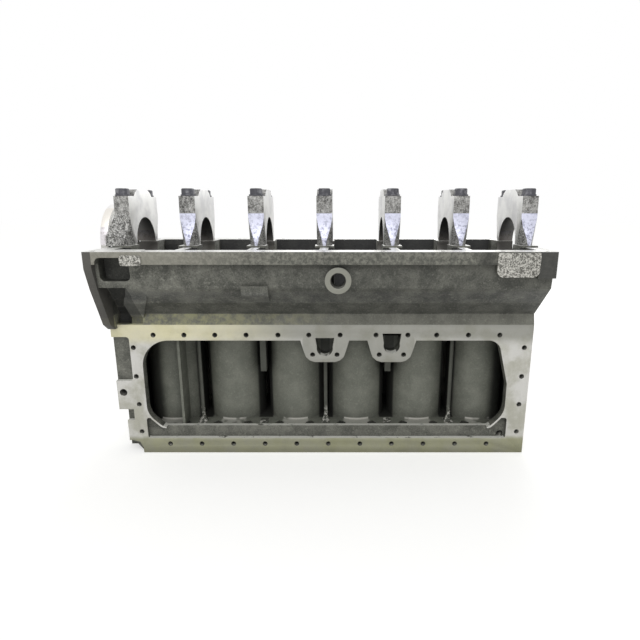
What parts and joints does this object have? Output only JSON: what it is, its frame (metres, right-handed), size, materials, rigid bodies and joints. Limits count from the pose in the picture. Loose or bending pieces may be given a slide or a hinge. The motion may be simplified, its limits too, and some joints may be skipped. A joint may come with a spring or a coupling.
{
  "type": "engine block",
  "caption": "In-line diesel cylinder block standing on its head face, with bolted main bearing caps, an open water jacket side and machined flanges.",
  "frame": {"origin": "on the head face, below the middle main bearing and midway between the third and fourth cylinders", "axes": "+X along the crankshaft from the flywheel end to the pulley end, +Y from the cooler cover side to the manifold side, +Z from the head face up to the pan rail"},
  "size_m": [0.837, 0.372, 0.527],
  "materials": {
    "cast_iron_block": "as-cast grey iron with milled flanges",
    "cast_iron_cap": "cast iron, milled flanks",
    "bolt_steel": "black phosphated",
    "plug_steel": "zinc plated, dulled",
    "dowel_steel": "ground"
  },
  "bodies": {
    "root": {"core_plug_1": "plug_steel", "core_plug_2": "plug_steel", "core_plug_3": "plug_steel", "cylinder_block": "cast_iron_block", "main_cap_1": "cast_iron_cap", "main_cap_2": "cast_iron_cap", "main_cap_3": "cast_iron_cap", "main_cap_4": "cast_iron_cap", "main_cap_5": "cast_iron_cap", "main_cap_6": "cast_iron_cap", "main_cap_7": "cast_iron_cap", "main_cap_bolt_1_far": "bolt_steel", "main_cap_bolt_1_near": "bolt_steel", "main_cap_bolt_2_far": "bolt_steel", "main_cap_bolt_2_near": "bolt_steel", "main_cap_bolt_3_far": "bolt_steel", "main_cap_bolt_3_near": "bolt_steel", "main_cap_bolt_4_far": "bolt_steel", "main_cap_bolt_4_near": "bolt_steel", "main_cap_bolt_5_far": "bolt_steel", "main_cap_bolt_5_near": "bolt_steel", "main_cap_bolt_6_far": "bolt_steel", "main_cap_bolt_6_near": "bolt_steel", "main_cap_bolt_7_far": "bolt_steel", "main_cap_bolt_7_near": "bolt_steel", "oil_gallery_plug_front": "plug_steel", "oil_gallery_plug_rear": "plug_steel", "rear_dowel_far": "dowel_steel", "rear_dowel_near": "dowel_steel"}
  },
  "joints": []
}
